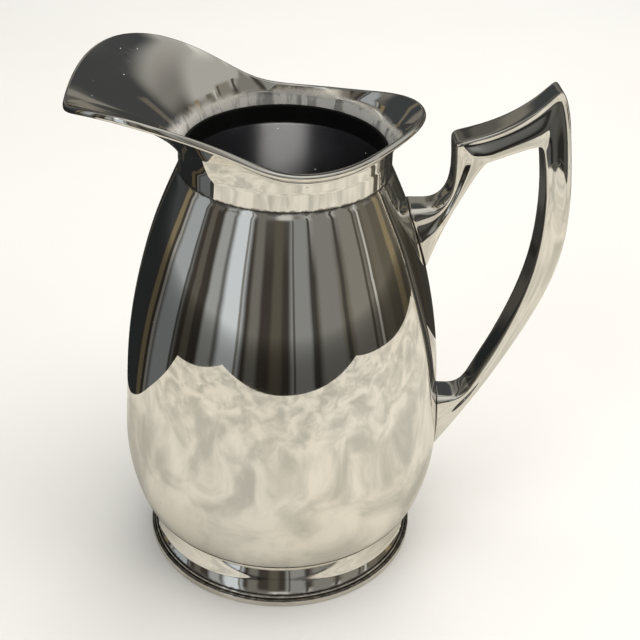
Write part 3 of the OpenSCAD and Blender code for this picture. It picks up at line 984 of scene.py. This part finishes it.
# %% What the floor shows to the camera and to the silver
floor_look, floor_tree, floor_shader, floor_at = new_material("pale_floor")
floor_tone = node(floor_tree, "ShaderNodeTexNoise", Vector=floor_at, Scale=7.0, Detail=4.0)
floor_plain = blend(floor_tree, floor_tone.outputs[0], (0.80, 0.785, 0.76, 1), (0.84, 0.83, 0.81, 1))
# The table top, as the silver shows it: warm stone with soft clouds
cloud = node(floor_tree, "ShaderNodeTexNoise", Vector=floor_at, Scale=16.0, Detail=5.0,
             Roughness=0.55, Distortion=0.6)
stone = blend(floor_tree, ramp(floor_tree, cloud.outputs[0], 0.35, 0.68), (0.66, 0.63, 0.56, 1),
              (0.42, 0.405, 0.36, 1))
path = node(floor_tree, "ShaderNodeLightPath")
floor_colour = blend(floor_tree, path.outputs["Is Glossy Ray"], floor_plain, stone)
floor_tree.links.new(floor_colour, floor_shader.inputs["Base Color"])
floor_shader.inputs["Roughness"].default_value = 0.6
floor_xyz = node(floor_tree, "ShaderNodeSeparateXYZ", i0=floor_at)
# The table's edges in metres: left and right, then front and back
TABLE = {0: (-0.45, 0.515), 1: (-0.465, 0.15)}
beyond = 0.0
for axis, (low, high) in TABLE.items():
    past_low = maths(floor_tree, "LESS_THAN", floor_xyz.outputs[axis], low)
    past_high = maths(floor_tree, "GREATER_THAN", floor_xyz.outputs[axis], high)
    beyond = maths(floor_tree, "MAXIMUM", beyond, maths(floor_tree, "MAXIMUM", past_low, past_high))
# Its back left corner is cut off along a slanting line
CUT_SLOPE = 0.6
CUT_START = 0.17
past_cut = maths(floor_tree, "SUBTRACT", floor_xyz.outputs[1],
                 maths(floor_tree, "MULTIPLY", floor_xyz.outputs[0], CUT_SLOPE))
past_cut = maths(floor_tree, "GREATER_THAN", past_cut, CUT_START)
beyond = maths(floor_tree, "MAXIMUM", beyond, past_cut)
mirrored = maths(floor_tree, "MULTIPLY", beyond, path.outputs["Is Glossy Ray"])
# The room's floor takes its colour from just under the horizon
LOW_RISE = -8.0
room_floor = studio_colour(floor_tree, heading_of(floor_tree, floor_xyz), LOW_RISE)
# Close to the table the room's floor lies in shade
away = node(floor_tree, "ShaderNodeVectorMath", {"operation": "LENGTH"}, i0=floor_at).outputs["Value"]
dark_room = node(floor_tree, "ShaderNodeEmission", Color=room_floor,
                 Strength=ramp(floor_tree, away, 0.5, 2.2, 0.35, 1.0))
table_or_room = node(floor_tree, "ShaderNodeMixShader", i0=mirrored,
                     i1=floor_shader.outputs[0], i2=dark_room.outputs[0])
# Far off, the floor rises into the pale surroundings like a paper sweep
PALE = 0.9
sweep = node(floor_tree, "ShaderNodeEmission", Color=(PALE, PALE, PALE, 1), Strength=1.0)
far_off = maths(floor_tree, "MULTIPLY", ramp(floor_tree, away, 0.5, 1.7), path.outputs["Is Camera Ray"])
floor_switch = node(floor_tree, "ShaderNodeMixShader", i0=far_off,
                    i1=table_or_room.outputs[0], i2=sweep.outputs[0])
floor_tree.links.new(floor_switch.outputs[0],
                     floor_tree.nodes["Material Output"].inputs["Surface"])
floor.data.materials.append(floor_look)
print("floor material:", len(floor_tree.nodes), "nodes")

# %% Soft lights
def soft_light(name, where_at, size, power, colour=(1.0, 0.98, 0.95)):
    """A soft rectangular light that faces the pitcher and isn't seen itself."""
    light = bpy.data.lights.new(name, "AREA")
    light.shape = "RECTANGLE"
    light.size, light.size_y = size
    light.energy = power
    light.color = colour
    lamp = bpy.data.objects.new(name, light)
    bpy.context.scene.collection.objects.link(lamp)
    lamp.location = where_at
    aim = Vector((0, 0, 0.12)) - Vector(where_at)
    lamp.rotation_euler = aim.to_track_quat("-Z", "Y").to_euler()
    lamp.visible_camera = False
    lamp.visible_glossy = False
    return lamp


soft_light("overhead", (0.2, 0.1, 1.5), (1.6, 1.6), 24)
soft_light("left_front", (-1.2, -1.0, 0.9), (0.7, 0.7), 6, (0.95, 0.98, 1.0))
soft_light("right_front", (1.3, -0.8, 0.9), (0.7, 0.7), 5)
soft_light("back", (0.3, 1.4, 0.9), (0.8, 0.6), 5)

# One wide light looks into the mouth from the front and lights the lining alone
mouth_light = soft_light("into_the_mouth", (0.0, -1.15, 0.80), (1.2, 0.25), 210)
mouth_light.visible_glossy = True
lit = bpy.data.collections.new("lit_from_the_front")
lit.objects.link(made["lining_vessel"])
mouth_light.light_linking.receiver_collection = lit

# %% Surroundings
world = bpy.data.worlds.new("studio")
bpy.context.scene.world = world
world.use_nodes = True
sky = world.node_tree
sky_at = node(sky, "ShaderNodeTexCoord")
sky_xyz = node(sky, "ShaderNodeSeparateXYZ", i0=sky_at.outputs["Generated"])
rise_here = maths(sky, "DEGREES", maths(sky, "ARCSINE", sky_xyz.outputs[2]))
room = studio_colour(sky, heading_of(sky, sky_xyz), rise_here)
sky_path = node(sky, "ShaderNodeLightPath")
seen = blend(sky, sky_path.outputs["Is Camera Ray"], room, (PALE, PALE, PALE, 1))
sky.links.new(seen, sky.nodes["Background"].inputs["Color"])
print("world:", len(sky.nodes), "nodes")

# %% [markdown]
# ## The camera
# The camera stands about 18 cm higher than the pitcher's lip and looks down on it, as someone at the
# table would. Its three directions come from a heading, a downward tilt and a small roll.

# %% Place the camera
STANDPOINT = Vector((-0.0234, -0.4469, 0.4032))
heading = math.radians(5.06)
tilt = math.radians(32.99)
roll = math.radians(1.92)
ahead = Vector((math.sin(heading) * math.cos(tilt), math.cos(heading) * math.cos(tilt),
                -math.sin(tilt)))
level = Vector((math.cos(heading), -math.sin(heading), 0))
upward = level.cross(ahead)
right = level * math.cos(roll) + upward * math.sin(roll)
top = upward * math.cos(roll) - level * math.sin(roll)
lens = bpy.data.cameras.new("camera")
lens.lens = 68.48
lens.sensor_width = 36
lens.clip_start = 0.01
camera = bpy.data.objects.new("camera", lens)
bpy.context.scene.collection.objects.link(camera)
turned = Matrix((right, top, -ahead)).transposed()
camera.matrix_world = Matrix.Translation(STANDPOINT) @ turned.to_4x4()
bpy.context.scene.camera = camera
bpy.context.scene.view_settings.view_transform = "Standard"
print("camera", round(STANDPOINT.length, 3), "m from the foot's centre")
